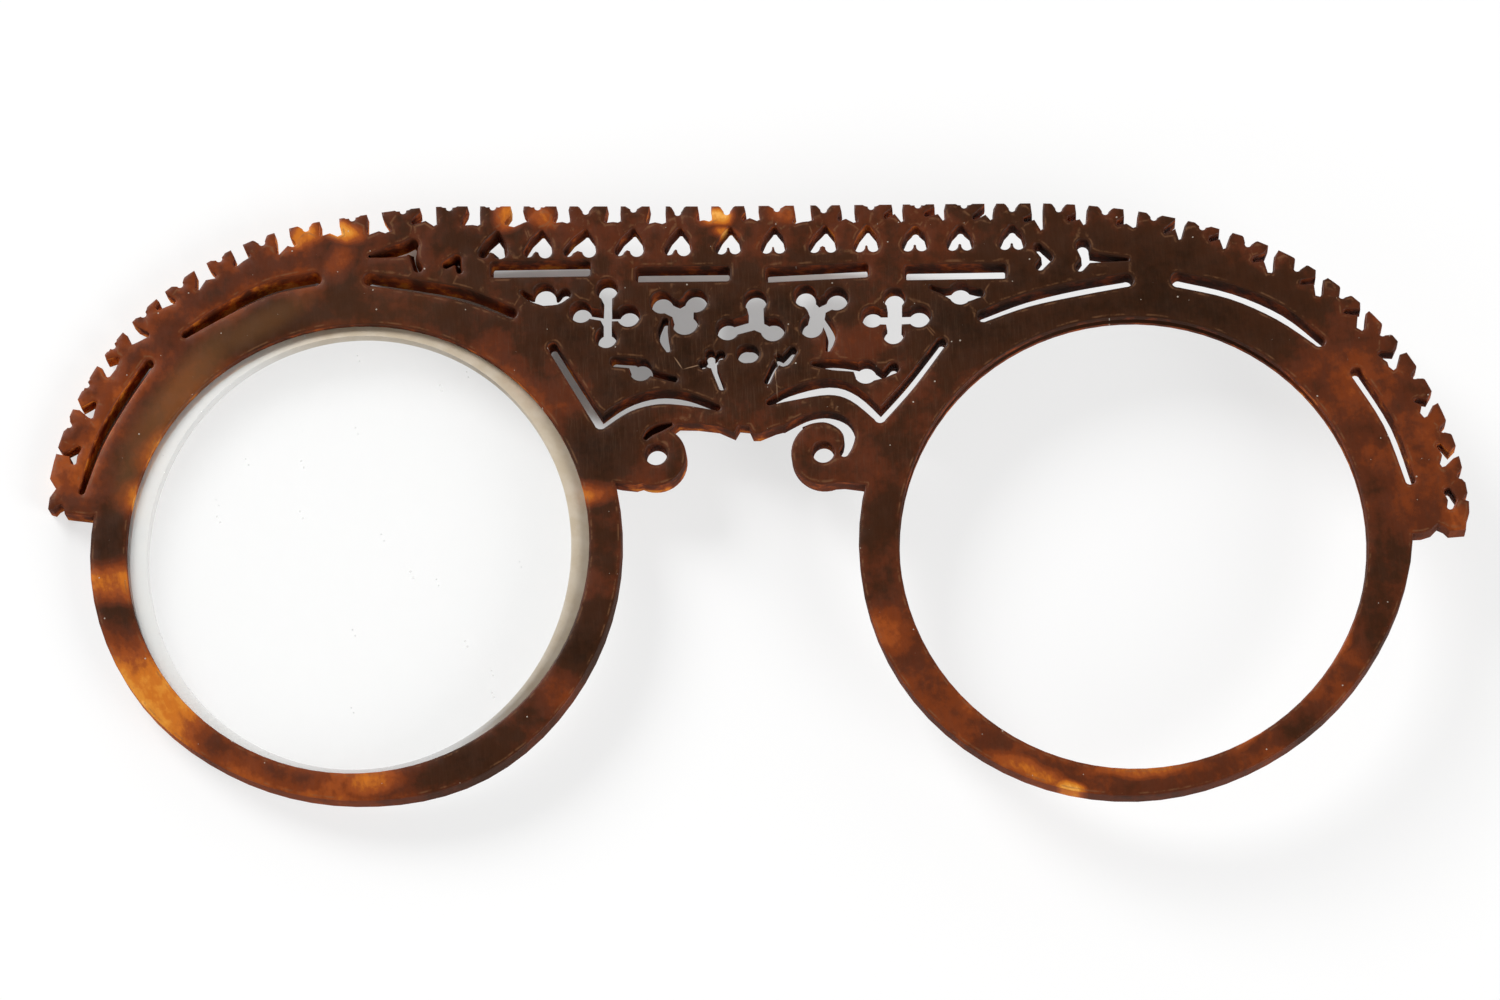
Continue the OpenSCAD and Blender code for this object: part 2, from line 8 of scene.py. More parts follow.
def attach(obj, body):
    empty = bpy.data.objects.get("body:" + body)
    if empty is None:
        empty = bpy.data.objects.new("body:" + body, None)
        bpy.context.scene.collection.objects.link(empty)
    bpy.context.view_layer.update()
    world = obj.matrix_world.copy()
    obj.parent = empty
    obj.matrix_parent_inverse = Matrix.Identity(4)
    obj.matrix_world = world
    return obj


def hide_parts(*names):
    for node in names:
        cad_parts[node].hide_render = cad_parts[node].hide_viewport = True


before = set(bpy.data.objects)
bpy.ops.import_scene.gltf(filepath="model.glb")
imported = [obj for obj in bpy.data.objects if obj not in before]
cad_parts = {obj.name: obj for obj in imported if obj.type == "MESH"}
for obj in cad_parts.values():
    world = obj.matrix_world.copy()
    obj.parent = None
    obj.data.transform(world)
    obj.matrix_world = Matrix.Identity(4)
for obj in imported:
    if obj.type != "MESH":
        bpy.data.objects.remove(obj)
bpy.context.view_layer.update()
mm = 0.001
tiny = 1e-9             # mm, what counts as no length
batch = 400             # points measured at a time
patchDepth = 40         # mm, half length through the plate of the patches in materials

# The shell is carved again from the outlines of the solid, with rounded lips. Lengths in mm.
shell = {
    "thickness": 2.4,
    "eyeLine": -12.0,       # y of the line through the eyes
    "round": 0.15,          # radius of the polished edges
    "roundSteps": 3,
    "taper": 0.13,          # by how much the slots close towards the back
    "tuck": 0.06,           # the same for openings shorter than
    "short": 6.0,           # this length
    "slant": 0.34,          # the same for the slots along the left arc
    "leftArc": (-20.0, 12.0),   # those slots lie to the left of x and above y
    "eye": (38.0, 42.0),    # an outline between these sizes is a lens opening
    "grooveWidth": 1.0, "grooveFloor": 0.5, "grooveDepth": 0.7,
    "pocket": 0.9,          # depth of the engraved line
    "pocketGap": 0.15,      # its outline stands farther than this from those of the back
    "level": 0.001,         # corners closer than this to a height lie at it
    "longest": 0.55,        # longest piece of an outline after refining
    "grid": 0.8,            # pitch of the points inside a face
    "gridGap": 0.3,         # least distance from them to the outlines
    "sample": 0.2,          # step along the outlines to which distances are measured
    "merge": 1e-6,          # points closer than this are one
    "mitre": 0.3,           # keeps the points of sharp corners from running far in
    "unloop": 6,            # rounds in which the loops of a ring are closed
    "sideArea": 1e-5,       # area for which one outline edge speaks, mm2
    "sharp": 38,            # degrees, above which an edge stays crisp
}


def cadTriangles(node):
    # corners of the node's triangles, with the doubled ones joined, in mm
    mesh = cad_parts[node].data
    co = np.empty(len(mesh.vertices) * 3, np.float32)
    mesh.vertices.foreach_get("co", co)
    mesh.calc_loop_triangles()
    tri = np.empty(len(mesh.loop_triangles) * 3, np.int32)
    mesh.loop_triangles.foreach_get("vertices", tri)
    points, back = np.unique(np.round(co.reshape(-1, 3).astype(float) / mm, 4),
                             axis=0, return_inverse=True)
    return points, back.ravel()[tri].reshape(-1, 3)


def outlinesAt(points, tri, z):
    # edges that only one triangle of the level z uses, chained into rings; the material is
    # on their left. Rings are labelled and ranked by doubling the reach of each link.
    flat = tri[np.all(np.abs(points[tri][:, :, 2] - z) < shell["level"], axis=1)]
    a, b, c = points[flat[:, 0]], points[flat[:, 1]], points[flat[:, 2]]
    turn = np.cross(b - a, c - a)[:, 2]
    flat = np.where((turn < 0)[:, None], flat[:, ::-1], flat)
    flat = flat[np.abs(turn) > tiny]
    edges = np.concatenate([flat[:, [0, 1]], flat[:, [1, 2]], flat[:, [2, 0]]])
    code = edges[:, 0] * len(points) + edges[:, 1]
    mirrored = edges[:, 1] * len(points) + edges[:, 0]
    edges = edges[~np.isin(code, mirrored)]
    used, link = np.unique(edges, return_inverse=True)
    link = link.reshape(-1, 2)
    follow = np.arange(len(used))
    follow[link[:, 0]] = link[:, 1]
    rounds = int(math.ceil(math.log2(len(used)))) + 1
    label, jump = np.arange(len(used)), follow.copy()
    for _ in range(rounds):
        label = np.minimum(label, label[jump])
        jump = jump[jump]
    last = follow == label
    jump = np.where(last, np.arange(len(used)), follow)
    left = np.where(last, 0, 1)
    for _ in range(rounds):
        left = left + left[jump]
        jump = jump[jump]
    order = np.lexsort((-left, label))
    cuts = np.flatnonzero(np.diff(label[order])) + 1
    return [points[used[part]][:, :2] for part in np.split(order, cuts) if len(part) > 2]


def refined(ring, longest):
    # the same ring with points added along its long edges, at even steps of its length
    closed = np.vstack([ring, ring[:1]])
    length = np.hypot(*np.diff(closed, axis=0).T)
    at = np.concatenate([[0], np.cumsum(length)])
    parts = np.maximum(1, np.ceil(length / longest)).astype(int)
    start = np.repeat(at[:-1], parts)
    step = np.repeat(length / parts, parts)
    nth = np.arange(parts.sum()) - np.repeat(np.cumsum(parts) - parts, parts)
    s = start + nth * step
    return np.column_stack([np.interp(s, at, closed[:, 0]), np.interp(s, at, closed[:, 1])])


def inward(ring):
    # direction into the material at each point, long enough that both edges move by one:
    # the sum of the two edges' normals over one plus their dot product
    edge = np.roll(ring, -1, axis=0) - ring
    edge /= np.maximum(np.hypot(*edge.T), tiny)[:, None]
    side = np.column_stack([-edge[:, 1], edge[:, 0]])
    before = np.roll(side, 1, axis=0)
    scale = 1 / np.maximum(1 + np.sum(side * before, axis=1), shell["mitre"])
    return (side + before) * scale[:, None]


def unlooped(line, grid):
    # where an edge of a ring runs against the outline's own edge, the ring has made a loop
    # there, and both ends of the edge are joined half way
    edge = np.roll(line, -1, axis=0) - line
    for _ in range(shell["unloop"]):
        against = np.sum((np.roll(grid, -1, axis=1) - grid) * edge, axis=2) < 0
        half = (grid + np.roll(grid, -1, axis=1)) / 2
        grid = np.where(against[..., None], half, grid)
        behind = np.roll(against, 1, axis=1)
        grid = np.where(behind[..., None], np.roll(half, 1, axis=1), grid)
    return grid


def inside(points, rings):
    # even-odd count of the outline edges to the right of each point
    a = np.vstack(rings)
    b = np.vstack([np.roll(r, -1, axis=0) for r in rings])
    rise = b[:, 1] - a[:, 1]
    rise = np.where(np.abs(rise) < tiny, tiny, rise)
    slope = (b[:, 0] - a[:, 0]) / rise
    hits = np.zeros(len(points), int)
    for part in np.array_split(np.arange(len(points)), max(1, len(points) // batch)):
        x, y = points[part, 0][:, None], points[part, 1][:, None]
        spans = (a[:, 1] > y) != (b[:, 1] > y)
        hits[part] = np.sum(spans & (x < a[:, 0] + (y - a[:, 1]) * slope), axis=1)
    return hits % 2 == 1


def nearest(points, rings):
    # distance from each point to the closest outline point
    line = np.vstack([refined(r, shell["sample"]) for r in rings])
    out = np.empty(len(points))
    for part in np.array_split(np.arange(len(points)), max(1, len(points) // batch)):
        gap = points[part][:, None, :] - line[None, :, :]
        out[part] = np.sqrt(np.min(np.sum(gap * gap, axis=2), axis=1))
    return out


def patchesOf(tri, outline, many):
    # triangles that share an edge which isn't the outline's are in one patch; each gets the
    # least number in its patch
    side = np.sort(np.stack([tri, np.roll(tri, -1, axis=1)], axis=2), axis=2).reshape(-1, 2)
    code, owner = side[:, 0] * many + side[:, 1], np.repeat(np.arange(len(tri)), 3)
    free = ~np.isin(code, outline[:, 0] * many + outline[:, 1])
    code, owner = code[free], owner[free]
    order = np.argsort(code, kind="stable")
    pair = np.flatnonzero(np.diff(code[order]) == 0)
    one, two = owner[order][pair], owner[order][pair + 1]
    patch, before = np.arange(len(tri)), None
    while before is None or np.any(before != patch):
        before = patch.copy()
        least = np.minimum(patch[one], patch[two])
        np.minimum.at(patch, one, least)
        np.minimum.at(patch, two, least)
        patch = patch[patch]
    return patch


def filled(rings, ids, extra, extraIds, newFrom):
    # triangles between the rings: a Delaunay net through the rings and the extra points,
    # less what lies outside
    points, number = np.vstack([*rings, extra]), np.concatenate([*ids, extraIds])
    edges, first = [], 0
    for r in rings:
        n = np.arange(len(r)) + first
        edges.append(np.column_stack([n, np.roll(n, -1)]))
        first += len(r)
    made = delaunay_2d_cdt([Vector(p) for p in points], np.vstack(edges).tolist(), [], 0,
                           shell["merge"])
    co, tri = np.array([tuple(v) for v in made[0]]), np.array(made[2])
    outline = np.sort(np.array(made[1])[[len(o) > 0 for o in made[4]]], axis=1)
    origin = np.array([o[0] if o else -1 for o in made[3]])
    # where two rings cross, the net has a point of its own
    crossing = np.flatnonzero(origin < 0)
    known = np.where(origin < 0, 0, number[np.maximum(origin, 0)])
    known[crossing] = newFrom + np.arange(len(crossing))
    # a patch is kept if more of its area is inside than outside. Where it has hardly any
    # area, the outline's edges decide, as the filled side is on their left
    a, b, c = co[tri[:, 0]], co[tri[:, 1]], co[tri[:, 2]]
    area = np.abs(np.cross(b - a, c - a))
    named = known[tri]
    after = np.roll(named, -1, axis=1)
    along = np.concatenate([i * newFrom + np.roll(i, -1) for i in ids])
    left = np.isin(named * newFrom + after, along).sum(axis=1)
    right = np.isin(after * newFrom + named, along).sum(axis=1)
    weight = np.where(inside(co[tri].mean(axis=1), rings), area, -area)
    weight += shell["sideArea"] * (left - right)
    patch = patchesOf(tri, outline, len(co))
    vote = np.bincount(patch, weight, len(tri))
    return named[vote[patch] > 0], co[crossing]


def edgeProfiles():
    # [inset, height] from the front to the back of the plate, for each kind of edge
    s = shell
    t, r = s["thickness"], s["round"]
    angle = np.linspace(0, math.pi / 2, s["roundSteps"] + 1)
    front = np.column_stack([r * (1 - np.sin(angle)), t - r * (1 - np.cos(angle))])
    back = np.column_stack([front[::-1, 0], t - front[::-1, 1]])
    gw, gf, gd = s["grooveWidth"] / 2, s["grooveFloor"] / 2, s["grooveDepth"]
    groove = np.array([[0, t / 2 + gw], [gd, t / 2 + gf], [gd, t / 2 - gf], [0, t / 2 - gw]])
    profiles = {"plain": np.vstack([front, back]), "grooved": np.vstack([front, groove, back]),
                "pocket": np.vstack([front, [[0, t - s["pocket"]]]])}
    for kind in ("taper", "tuck", "slant"):
        profiles[kind] = np.vstack([front, back - [s[kind], 0]])
    return profiles


def edgeKind(ring, backs):
    s = shell
    size = ring.max(axis=0) - ring.min(axis=0)
    middle = (ring.max(axis=0) + ring.min(axis=0)) / 2
    if s["eye"][0] < min(size) and max(size) < s["eye"][1]:
        return "grooved"
    if nearest(ring, backs).mean() > s["pocketGap"]:
        return "pocket"
    if size[0] > s["eye"][0]:
        return "plain"
    if middle[0] < s["leftArc"][0] and middle[1] > s["leftArc"][1] + s["eyeLine"]:
        return "slant"
    return "tuck" if max(size) < s["short"] else "taper"


def carvedShell():
    # each outline is carried through the plate along its profile; the two faces are filled
    # between the innermost rings
    s = shell
    t, r = s["thickness"], s["round"]
    points, tri = cadTriangles("shell_front")
    rings, backs = outlinesAt(points, tri, t), outlinesAt(points, tri, 0.0)
    profiles = edgeProfiles()
    co, quads, tris, lip, first = [], [], [], [], 0
    topRings, topIds, lowRings, lowIds = [], [], [], []
    for ring in rings:
        kind = edgeKind(ring, backs)
        profile = profiles[kind]
        line = refined(ring, s["longest"])
        into = inward(line)
        n, k = len(line), len(profile)
        grid = unlooped(line, line[None] + into[None] * profile[:, 0][:, None, None])
        height = np.broadcast_to(profile[:, 1][:, None, None], (k, n, 1))
        co.append(np.concatenate([grid, height], axis=2).reshape(-1, 3))
        lip.append(np.repeat(np.minimum(profile[:, 0], r), n))
        index = first + np.arange(k * n).reshape(k, n)
        a, b = index[:-1], np.roll(index, -1, axis=1)[:-1]
        c, d = np.roll(index, -1, axis=1)[1:], index[1:]
        quads.append(np.stack([b, a, d, c], axis=2).reshape(-1, 4))
        topRings.append(grid[0])
        topIds.append(index[0])
        first += k * n
        if kind == "pocket":
            floor, new = filled([grid[-1][::-1]], [index[-1][::-1]], np.empty((0, 2)),
                                np.empty(0, int), first)
            tris.append(floor)
            co.append(np.column_stack([new, np.full(len(new), t - s["pocket"])]))
            lip.append(np.zeros(len(new)))
            first += len(new)
        else:
            lowRings.append(grid[-1])
            lowIds.append(index[-1])
    lo, hi = np.vstack(rings).min(axis=0), np.vstack(rings).max(axis=0)
    gx, gy = np.meshgrid(np.arange(lo[0], hi[0], s["grid"]), np.arange(lo[1], hi[1], s["grid"]))
    gx[1::2] += s["grid"] / 2
    net = np.column_stack([gx.ravel(), gy.ravel()])
    for faceRings, faceIds, z in ((topRings, topIds, t), (lowRings, lowIds, 0.0)):
        inner = net[inside(net, faceRings)]
        far = nearest(inner, faceRings)
        inner, far = inner[far > s["gridGap"]], far[far > s["gridGap"]]
        ids = first + np.arange(len(inner))
        first += len(inner)
        face, new = filled(faceRings, faceIds, inner, ids, first)
        tris.append(face if z else face[:, ::-1])
        co.append(np.column_stack([np.vstack([inner, new]), np.full(len(inner) + len(new), z)]))
        lip.append(np.concatenate([far + r, np.full(len(new), r)]))
        first += len(new)
    print("shell:", len(rings), "outlines,", first, "points")
    return np.vstack(co), np.vstack(quads), np.vstack(tris), np.concatenate(lip)


def meshPiece(name, co, quads, tris, attributes):
    mesh = bpy.data.meshes.new(name)
    mesh.from_pydata((co * mm).tolist(), [], quads.tolist() + tris.tolist())
    mesh.validate()
    mesh.polygons.foreach_set("use_smooth", np.ones(len(mesh.polygons), bool))
    for key, values in attributes.items():
        data = mesh.attributes.new(key, "FLOAT", "POINT").data
        data.foreach_set("value", values.astype(np.float32))
    mesh.update()
    piece = bpy.data.objects.new(name, mesh)
    bpy.context.scene.collection.objects.link(piece)
    return piece


def startMaterial(name):
    material = bpy.data.materials.new(name)
    material.use_nodes = True
    material.node_tree.nodes.clear()
    return material, material.node_tree


def add(tree, kind, inputs=None, **settings):
    # one node; an input is a value, or the socket that feeds it
    node = tree.nodes.new(kind)
    for key, value in settings.items():
        setattr(node, key, value)
    for key, value in (inputs or {}).items():
        if isinstance(value, bpy.types.NodeSocket):
            tree.links.new(value, node.inputs[key])
        else:
            node.inputs[key].default_value = value
    return node


def calc(tree, operation, a, b=0.0, c=None, clamp=False):
    inputs = {0: a, 1: b} if c is None else {0: a, 1: b, 2: c}
    return add(tree, "ShaderNodeMath", inputs, operation=operation, use_clamp=clamp).outputs[0]


def vectorCalc(tree, operation, a, b, c=None):
    inputs = {0: a, 1: b} if c is None else {0: a, 1: b, 2: c}
    return add(tree, "ShaderNodeVectorMath", inputs, operation=operation).outputs[0]


def span(tree, value, fromMin, fromMax, toMin=0.0, toMax=1.0, smooth=True):
    # value carried from one range to another, with soft ends
    return add(tree, "ShaderNodeMapRange",
               {"Value": value, "From Min": fromMin, "From Max": fromMax,
                "To Min": toMin, "To Max": toMax},
               interpolation_type="SMOOTHSTEP" if smooth else "LINEAR").outputs["Result"]


def moved(tree, vector, location=(0, 0, 0), angle=0.0, scale=(1, 1, 1)):
    # vector seen from a place, turned back by an angle and divided by a size
    return add(tree, "ShaderNodeMapping",
               {"Vector": vector, "Location": location,
                "Rotation": (0, 0, math.radians(angle)), "Scale": scale},
               vector_type="TEXTURE").outputs[0]


def noise(tree, vector, scale, detail, rough, distortion=0.0):
    return add(tree, "ShaderNodeTexNoise",
               {"Vector": vector, "Scale": scale, "Detail": detail, "Roughness": rough,
                "Distortion": distortion})


def streaks(tree, vector, angle, along, across, detail, rough):
    # a noise stretched across an angle
    vector = moved(tree, vector, (0, 0, 0), angle, (along, across, 1))
    return noise(tree, vector, 1.0, detail, rough).outputs["Fac"]


def specks(tree, vector, cells, channel, bare, radius):
    # a speck in some of the cells of a Voronoi net
    net = add(tree, "ShaderNodeTexVoronoi", {"Vector": vector, "Scale": cells},
              voronoi_dimensions="2D")
    chance = add(tree, "ShaderNodeSeparateColor", {0: net.outputs["Color"]}).outputs[channel]
    size = span(tree, chance, bare, 1.0, 0.0, radius, smooth=False)
    return calc(tree, "LESS_THAN", net.outputs["Distance"], size)


def attribute(tree, name):
    return add(tree, "ShaderNodeAttribute", attribute_name=name,
               attribute_type="GEOMETRY").outputs["Fac"]


def parted(tree, vector):
    return add(tree, "ShaderNodeSeparateXYZ", {0: vector}).outputs


def blendColour(tree, factor, a, b):
    return add(tree, "ShaderNodeMix", {0: factor, 6: a, 7: b}, data_type="RGBA",
               clamp_factor=True).outputs[2]


def plateVector(tree):
    # object coordinates in mm, with y counted from the line through the eyes
    co = add(tree, "ShaderNodeTexCoord").outputs["Object"]
    return vectorCalc(tree, "MULTIPLY_ADD", co, (1 / mm,) * 3, (0, -shell["eyeLine"], 0))


def normalZ(tree):
    return parted(tree, add(tree, "ShaderNodeTexCoord").outputs["Normal"])["Z"]


tortoise = {
    "shades": [             # [glow, colour], from the opaque shell to the clearest
        (0.00, (0.020, 0.0076, 0.0030)),
        (0.18, (0.038, 0.0128, 0.0052)),
        (0.35, (0.084, 0.0205, 0.0078)),
        (0.50, (0.155, 0.0320, 0.0080)),
        (0.62, (0.260, 0.0560, 0.0110)),
        (0.78, (0.500, 0.1400, 0.0140)),
        (0.90, (0.620, 0.2300, 0.0280)),
        (1.00, (0.800, 0.3700, 0.0750)),
    ],
    # broad zones that add to the glow: x, y, half length, half width, angle, glow
    "zones": [
        (33.0, -13.0, 27.0, 13.0, 0, 0.27), (-33.0, -13.0, 27.0, 13.0, 0, 0.10),
        (-54.0, 16.0, 15.0, 8.0, 62, 0.17), (-40.0, 25.5, 13.0, 4.5, 24, 0.13),
        (55.0, 9.0, 15.0, 7.0, -60, 0.20), (12.0, 10.0, 5.0, 9.0, -30, 0.12),
        (-18.0, 15.0, 7.0, 5.0, -50, 0.18), (0.0, 28.5, 24.0, 2.4, 0, 0.06),
        (-38.0, -20.0, 11.0, 3.4, -12, 0.18), (-58.0, 10.5, 6.0, 2.0, 72, 0.07),
    ],
    # clear patches: x, y, half length, half width, angle, glow
    "patches": [
        (-50.4, -12.4, 6.8, 3.2, -52, 0.81), (-54.3, -2.4, 2.0, 3.4, 88, 0.68),
        (-52.6, 5.2, 1.8, 1.8, 0, 0.62), (-51.0, 9.6, 3.0, 1.3, 60, 0.58),
        (-48.6, 14.8, 4.6, 1.8, 52, 0.48), (-58.4, 7.6, 2.8, 3.0, 0, 0.54),
        (-56.4, 10.0, 2.0, 3.2, 0, 0.46), (-42.0, -19.4, 5.0, 2.2, -28, 0.52),
        (-31.8, -20.2, 3.4, 1.5, 4, 0.70), (-34.7, 28.8, 1.3, 1.9, 90, 0.90),
        (-38.2, 28.4, 1.9, 1.6, 10, 0.70), (-35.0, 26.2, 2.2, 1.6, 60, 0.52),
        (-20.6, 30.2, 1.5, 1.5, 0, 0.70), (-17.4, 29.9, 1.6, 1.5, 0, 0.62),
        (-2.4, 29.8, 0.9, 1.7, 90, 0.93), (-1.7, 28.4, 0.7, 1.4, 80, 0.70),
        (3.4, 29.9, 1.7, 1.4, 0, 0.54), (7.0, 27.6, 2.0, 1.4, 0, 0.40),
        (9.6, 18.2, 4.5, 2.2, 10, 0.36), (-22.0, 17.5, 3.0, 2.4, 60, 0.38),
        (-13.9, 5.0, 1.1, 3.4, 95, 0.66), (-12.6, -3.0, 2.0, 2.4, 90, 0.30),
        (-16.0, -12.6, 2.6, 2.6, 50, 0.42), (12.4, -7.4, 3.2, 2.4, 115, 0.58),
        (16.6, -14.4, 4.6, 1.6, -46, 0.48), (27.4, -21.5, 1.5, 0.85, -12, 0.95),
        (24.4, -20.0, 5.2, 1.3, -28, 0.68), (33.5, -19.8, 7.0, 0.9, 3, 0.64),
        (44.0, -15.8, 5.2, 0.9, 42, 0.66), (50.4, -9.4, 4.0, 0.9, 62, 0.56),
        (60.6, 1.4, 2.0, 2.0, 0, 0.52), (56.5, 3.0, 2.6, 2.2, 0, 0.34),
    ],
    # dark patches that part them: what is left of the glow
    "darks": [
        (-54.6, 1.8, 1.9, 3.2, 85, 0.45), (-53.6, -6.6, 1.5, 3.0, 80, 0.40),
        (-13.6, -8.6, 2.2, 3.0, 70, 0.30), (-24.0, -18.4, 4.6, 2.6, 25, 0.40),
        (12.0, 2.6, 2.0, 2.4, 90, 0.75), (53.8, -8.2, 2.4, 1.4, 70, 0.50),
        (47.6, -16.4, 2.4, 1.8, 40, 0.50), (-40.5, 20.5, 3.0, 2.4, 30, 0.60),
        (-3.0, 19.0, 16.0, 5.0, 0, 0.30), (32.0, 22.0, 15.0, 4.0, -6, 0.35),
        (-13.0, 9.0, 3.4, 3.4, 0, 0.25), (19.0, 20.0, 5.0, 4.0, 0, 0.20),
    ],
    # an old crack over the bridge, a hairline and a chip: x, y, half length, half width,
    # angle, strength
    "cracks": [
        (2.75, 16.2, 1.5, 0.07, 88, 0.75), (2.85, 13.6, 1.3, 0.05, 93, 0.45),
        (-5.7, 16.6, 0.75, 0.06, -56, 0.5), (-4.45, 16.2, 0.9, 0.06, 14, 0.5),
        (-37.7, 19.7, 0.65, 0.12, 0, 0.8),
    ],
    "warp": 1.7,            # mm by which the patches' outlines wander
    "flatten": (1, 1, 0.35),    # the patches lean little through the plate
    # shares of the half axes where one starts and where it is full
    "zoneEdge": (1.25, 0.3), "patchEdge": (1.7, 0.2), "crackEdge": (1.1, 0.5),
    # cycles per mm, detail, roughness and distortion
    "noises": {
        "wander": (0.26, 2, 0.5), "broad": (0.11, 3, 0.55, 0.3), "cloud": (0.30, 3, 0.55),
        "fine": (1.6, 5, 0.6), "paintedGlint": (0.55, 4, 0.6), "dust": (0.5, 5, 0.65),
        "highlightBreaks": (0.9, 4, 0.65), "swell": (0.3, 2, 0.5), "pits": (5.0, 3, 0.6),
    },
    # angle, length along and across, detail and roughness
    "streaks": {
        "feather": (25, 0.5, 1.6, 4, 0.6), "haze": (8, 0.22, 2.4, 4, 0.6),
        "striae": (1, 0.12, 2.2, 3, 0.7), "marks": (3, 0.09, 2.8, 3, 0.6),
        "across": (63, 0.07, 3.2, 3, 0.6),
    },
    # lowest and highest value of a noise, or place in mm, and what they become
    "spreads": {
        "broad": (0.35, 0.66, 0.14, 0.28), "cloud": (0.28, 0.70, 0.72, 1.2),
        "fine": (0.3, 0.7, -0.035, 0.035), "feather": (0.3, 0.7, 0.94, 1.04),
        "paintedGlint": (0.42, 0.66, 0.0, 0.34), "haze": (0.35, 0.75, 0.0, 0.08),
        "hazeDust": (0.3, 0.7, 0.4, 1.0), "highlightBreaks": (0.46, 0.62, 0.0, 1.0),
        "striae": (0.50, 0.72, 0.0, 0.26), "rough": (0.3, 0.7, 0.28, 0.38),
        # by the distance from the lips: painted glow of thin edges, and the two sides of a
        # painted highlight line
        "nearLip": (0.0, 1.1, 1.0, 0.0),
        "highlightStarts": (0.15, 0.22, 0.0, 0.5), "highlightEnds": (0.24, 0.38, 1.0, 0.0),
        # by x: the painted edge glow and the painted table light on the walls, both strongest at
        # the left arc
        "paintedEdgeGlow": (-20.0, -52.0, 0.06, 0.14), "arcLight": (10.0, -35.0, 0.14, 0.40),
        # by z, and by y: painted light on the walls near the back and at the crest, and only at
        # the brow
        "lowLight": (2.0, 0.2, 0.0, 1.0), "crestLight": (26.5, 29.0, 0.05, 0.12),
        "brow": (-2.0, 6.0, 0.12, 1.0),
        "wall": (0.25, 0.75, 1.0, 0.0),     # by how far a face looks up or down
    },
    "wallShare": 0.75,      # of the face's glow
    "olive": (0.150, 0.064, 0.021),
    # where it tints the shell: x, y, half length, half width, angle, strength
    "oliveAreas": [
        (-48.8, 14.4, 7.0, 1.6, 53, 0.62), (-42.2, 20.4, 5.0, 1.2, 30, 0.40),
        (-32.0, 22.0, 8.0, 3.0, 8, 0.06), (-52.8, 8.0, 3.4, 1.1, 75, 0.4),
    ],
    "haze": (0.100, 0.056, 0.032),
    # colour of the painted highlight line near each edge
    "lip": (0.18, 0.085, 0.040),
    "crack": (0.36, 0.22, 0.13),
    "dust": (0.42, 0.36, 0.30),
    "crackWander": 0.5,     # mm
    "bridge": (0.0, 16.0, 26.0, 12.0, 0, 1.0),      # where the striae are full
    "striaeElsewhere": 0.2,
    "speck": (0.55, "Green", 0.72, 0.042),  # cells per mm, channel, share of bare ones, radius
    "speckShare": 0.8,
    "wallRough": 0.9,
    "relief": {"marks": 0.005, "across": 0.004, "swell": 0.05, "pits": 0.004},     # mm
    "ior": 1.54, "specular": 0.12,
}


def patchSum(tree, vector, rows, start, edge):
    # the strongest of soft-edged ellipses, each from nothing at the first share of its half
    # axes to its full strength at the second. They go through the whole plate
    total = start
    for x, y, long, wide, angle, glow in rows:
        place = moved(tree, vector, (x, y, 0), angle, (long, wide, patchDepth))
        far = add(tree, "ShaderNodeVectorMath", {0: place}, operation="LENGTH").outputs["Value"]
        total = calc(tree, "MAXIMUM", total, span(tree, far, *edge, 0.0, glow))
    return total


def spread(tree, name, value):
    return span(tree, value, *tortoise["spreads"][name])


def shellNoise(tree, name, vector):
    return noise(tree, vector, *tortoise["noises"][name]).outputs["Fac"]


def shellStreaks(tree, name, vector):
    return streaks(tree, vector, *tortoise["streaks"][name])


def shellGlow(tree, p, flat, warped, lip, wall):
    # how much light comes through: 0 for opaque shell and 1 for the clearest; the glow added at
    # the edges and on the walls is painted light
    t = tortoise
    x, y, z = parted(tree, p)
    glow = spread(tree, "broad", shellNoise(tree, "broad", flat))
    for row in t["zones"]:
        glow = calc(tree, "ADD", glow, patchSum(tree, flat, [row], 0.0, t["zoneEdge"]))
    cloud = spread(tree, "cloud", shellNoise(tree, "cloud", warped))
    glow = calc(tree, "MULTIPLY", glow, cloud)
    takers = [(*row[:5], 1 - row[5]) for row in t["darks"]]
    taken = patchSum(tree, warped, takers, 0.0, t["patchEdge"])
    glow = calc(tree, "MULTIPLY", glow, calc(tree, "SUBTRACT", 1.0, taken))
    glow = patchSum(tree, warped, t["patches"], glow, t["patchEdge"])
    glow = calc(tree, "ADD", glow, spread(tree, "fine", shellNoise(tree, "fine", flat)))
    feather = spread(tree, "feather", shellStreaks(tree, "feather", warped))
    glow = calc(tree, "MULTIPLY", glow, feather)
    # painted light: a glow along the thin edges; the cut walls get theirs below
    nearLip, paintedEdgeGlow = spread(tree, "nearLip", lip), spread(tree, "paintedEdgeGlow", x)
    glow = calc(tree, "MULTIPLY_ADD", nearLip, paintedEdgeGlow, glow)
    # painted light on the cut walls: the table's light near the back and at the crest, and
    # painted glints, at the brow only
    low = calc(tree, "MULTIPLY", spread(tree, "lowLight", z), spread(tree, "arcLight", x))
    low = calc(tree, "ADD", low, spread(tree, "crestLight", y))
    paintedWallLight = calc(tree, "ADD", spread(tree, "paintedGlint", shellNoise(tree, "paintedGlint", p)), low)
    paintedWallLight = calc(tree, "MULTIPLY", paintedWallLight, spread(tree, "brow", y))
    wallGlow = calc(tree, "MULTIPLY_ADD", glow, t["wallShare"], paintedWallLight)
    faceGlow = calc(tree, "MULTIPLY", calc(tree, "SUBTRACT", 1.0, wall), glow)
    return calc(tree, "ADD", calc(tree, "MULTIPLY", wall, wallGlow), faceGlow, clamp=True)


